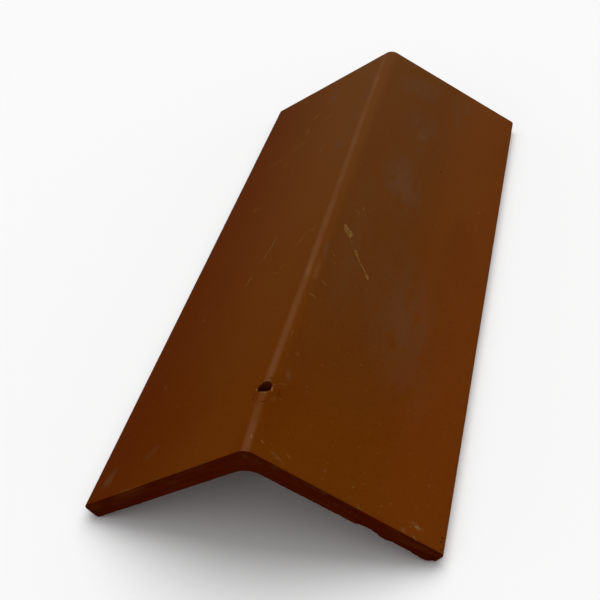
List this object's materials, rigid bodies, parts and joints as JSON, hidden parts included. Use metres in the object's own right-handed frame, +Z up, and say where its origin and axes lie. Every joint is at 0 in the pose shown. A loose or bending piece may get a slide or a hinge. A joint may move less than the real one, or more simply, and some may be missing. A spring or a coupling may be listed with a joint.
{
  "type": "clay ridge tile",
  "caption": "Angular V-section ridge tile of fired clay, with thinning legs, a rounded crown and one nail hole through the ridge near one end.",
  "frame": {"origin": "centre of the tile's box, at the level its two feet stand on", "axes": "+Y along the ridge, away from the nail hole's end; +X across the ridge to the right as seen from that end; +Z up"},
  "size_m": [0.1994, 0.45, 0.0689],
  "materials": {
    "terracotta": "unglazed, smooth from the die, matt"
  },
  "bodies": {
    "root": {"ridge_tile": "terracotta"}
  },
  "joints": []
}
